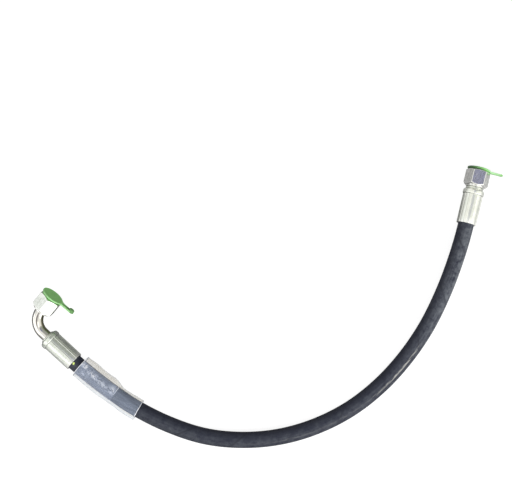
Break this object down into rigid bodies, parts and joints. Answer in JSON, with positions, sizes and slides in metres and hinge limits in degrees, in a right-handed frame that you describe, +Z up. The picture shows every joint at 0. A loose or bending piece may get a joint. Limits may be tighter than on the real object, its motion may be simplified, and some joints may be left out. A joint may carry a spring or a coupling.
{
  "type": "hydraulic hose assembly",
  "caption": "Hydraulic hose with a straight swivel end, a swept elbow swivel end, green dust plugs and a clear identification sleeve.",
  "frame": {"origin": "centre of the straight end's seat face, on the nut's axis", "axes": "+Y out of the straight swivel nut, along its axis; +Z up, away from the surface that the hose lies on"},
  "size_m": [0.5829, 0.4646, 0.0446],
  "materials": {
    "cover_rubber": "matte",
    "braid_wire": "satin",
    "layer_rubber": "matte",
    "liner_rubber": "satin",
    "plated_steel": "satin",
    "polished_tube": "gloss",
    "nut_steel": "satin",
    "wire_steel": "satin",
    "green_plastic": "satin",
    "clear_film": "gloss",
    "label_film": "satin",
    "mark_paint": "satin"
  },
  "bodies": {
    "root": {"hose_cover": "cover_rubber", "outer_wire_braid": "braid_wire", "braid_insulation": "layer_rubber", "inner_wire_braid": "braid_wire", "hose_inner_tube": "liner_rubber", "straight_insert": "plated_steel", "straight_ferrule": "plated_steel", "straight_thrust_wire": "wire_steel", "elbow_insert": "plated_steel", "elbow_tube": "polished_tube", "elbow_seat_sleeve": "plated_steel", "elbow_ferrule": "plated_steel", "elbow_thrust_wire": "wire_steel", "paint_mark": "mark_paint"},
    "straight_nut": {"straight_swivel_nut": "nut_steel"},
    "elbow_nut": {"elbow_swivel_nut": "nut_steel"},
    "straight_plug": {"straight_dust_plug": "green_plastic"},
    "elbow_plug": {"elbow_dust_plug": "green_plastic"},
    "sleeve": {"clear_sleeve": "clear_film", "id_label": "label_film"}
  },
  "joints": [
    {"name": "straight_nut_spin", "type": "hinge", "parent": "root", "child": "straight_nut", "pos_m": [0, 0, 0], "axis": [0, 1, 0], "continuous": true},
    {"name": "elbow_nut_spin", "type": "hinge", "parent": "root", "child": "elbow_nut", "pos_m": [-0.53238, -0.31498, 0.00825], "axis": [0.4431, 0.8475, 0.2924], "continuous": true},
    {"name": "straight_plug_pull", "type": "slide", "parent": "straight_nut", "child": "straight_plug", "axis": [0, 1, 0], "range_m": [0, 0.06]},
    {"name": "elbow_plug_pull", "type": "slide", "parent": "elbow_nut", "child": "elbow_plug", "axis": [0.4431, 0.8475, 0.2924], "range_m": [0, 0.06]},
    {"name": "sleeve_slide", "type": "slide", "parent": "root", "child": "sleeve", "axis": [-0.9304, 0.3658, 0.022], "range_m": [-0.004, 0.007]}
  ]
}
